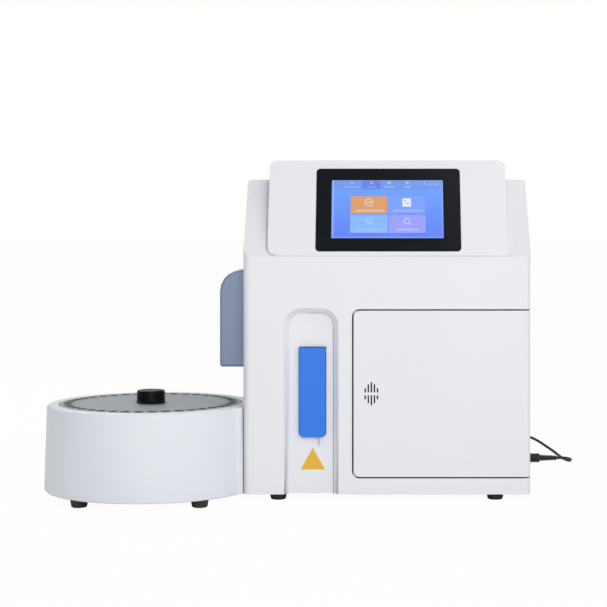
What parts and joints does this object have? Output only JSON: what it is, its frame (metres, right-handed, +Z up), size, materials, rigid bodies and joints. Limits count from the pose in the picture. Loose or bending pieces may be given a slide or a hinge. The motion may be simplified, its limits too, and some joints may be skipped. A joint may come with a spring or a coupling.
{
  "type": "electrolyte analyzer",
  "caption": "Bench-top electrolyte analyzer with a leaning touch display, a reagent door, a flap over the sample probe and a round sample tray at its left.",
  "frame": {"origin": "middle of the footprint of the whole instrument without its cord, on the table", "axes": "+X to the instrument's right as its user sees it, along its width; +Y backwards, away from the user; +Z up"},
  "size_m": [0.7432, 0.4669, 0.4588],
  "materials": {
    "shell": "satin, near white",
    "shell_rear": "satin, near white",
    "drum": "satin, cool white",
    "black": "gloss black",
    "rubber": "matte black",
    "screen": "lit display behind clear glass",
    "blue": "satin blue",
    "slate": "satin blue-grey",
    "steel": "bright",
    "disc": "satin",
    "grey": "matte",
    "pale": "matte",
    "acrylic": "clear, seen as pale",
    "board": "green",
    "paper": "matte",
    "pack": "matte"
  },
  "bodies": {
    "cabinet": {"front_shell": "shell", "rear_shell": "shell_rear", "base_plate": "grey", "display_housing": "shell", "display_bezel": "black", "display_panel": "screen", "flap_pin": "steel", "probe_frame": "grey", "door_hinge_top": "steel", "door_hinge_bottom": "steel", "compartment_liner": "pale", "door_latch": "grey", "reagent_pack": "pack", "electrode_block": "pale", "electrode_1": "acrylic", "electrode_2": "acrylic", "electrode_3": "acrylic", "electrode_4": "acrylic", "pump_head": "grey", "tray_housing": "drum", "tray_motor": "grey", "arm_housing": "slate", "printer_bay": "grey", "main_board": "board", "power_supply": "grey", "power_jack": "black", "switch_bezel": "black", "foot_body_1": "rubber", "foot_body_2": "rubber", "foot_body_3": "rubber", "foot_body_4": "rubber", "foot_tray_1": "rubber", "foot_tray_2": "rubber", "foot_tray_3": "rubber", "foot_tray_4": "rubber", "power_plug": "rubber", "cord_run": "rubber", "cord_coil": "rubber", "cord_tail": "rubber", "wall_adapter": "black"},
    "door": {"reagent_door": "shell", "grille_backing": "black"},
    "flap": {"probe_flap": "blue"},
    "probe": {"probe_carrier": "pale", "sample_probe": "steel"},
    "turntable": {"turntable": "grey"},
    "tray": {"sample_tray": "disc", "tray_knob": "black"},
    "drive": {"drive_roller": "rubber"},
    "arm": {"arm_carriage": "pale", "arm_probe": "steel"},
    "pump": {"pump_rotor": "pale"},
    "lid": {"printer_lid": "shell_rear"},
    "roll": {"paper_roll": "paper"},
    "rocker": {"power_rocker": "black"}
  },
  "joints": [
    {"name": "door_hinge", "type": "hinge", "parent": "cabinet", "child": "door", "pos_m": [0.3207, -0.10195, 0.1445], "axis": [0, 0, 1], "range_deg": [0, 110]},
    {"name": "flap_hinge", "type": "hinge", "parent": "cabinet", "child": "flap", "pos_m": [0.0383, -0.09745, 0.201], "axis": [-1, 0, 0], "range_deg": [0, 30]},
    {"name": "probe_slide", "type": "slide", "parent": "cabinet", "child": "probe", "axis": [0, 0, -1], "range_m": [0, 0.025]},
    {"name": "tray_spin", "type": "hinge", "parent": "cabinet", "child": "turntable", "pos_m": [-0.1866, -0.04545, 0.05], "axis": [0, 0, 1], "continuous": true},
    {"name": "tray_lift", "type": "slide", "parent": "turntable", "child": "tray", "axis": [0, 0, 1], "range_m": [0, 0.03]},
    {"name": "drive_spin", "type": "hinge", "parent": "cabinet", "child": "drive", "pos_m": [-0.1866, 0.02685, 0.048], "axis": [0, 0, 1], "continuous": true},
    {"name": "arm_slide", "type": "slide", "parent": "cabinet", "child": "arm", "axis": [0, 0, -1], "range_m": [0, 0.065]},
    {"name": "pump_spin", "type": "hinge", "parent": "cabinet", "child": "pump", "pos_m": [0.1385, -0.03795, 0.084], "axis": [0, -1, 0], "continuous": true},
    {"name": "lid_hinge", "type": "hinge", "parent": "cabinet", "child": "lid", "pos_m": [0.1382, 0.15757, 0.4318], "axis": [-1, 0, 0], "range_deg": [0, 95]},
    {"name": "roll_spin", "type": "hinge", "parent": "cabinet", "child": "roll", "pos_m": [0.1382, 0.11907, 0.4056], "axis": [1, 0, 0], "continuous": true},
    {"name": "switch_rock", "type": "hinge", "parent": "cabinet", "child": "rocker", "pos_m": [0.0182, 0.18405, 0.06], "axis": [-1, 0, 0], "range_deg": [0, 14]}
  ],
  "couplings": [
    {"joint": "drive_spin", "follows": "tray_spin", "ratio": -5}
  ]
}
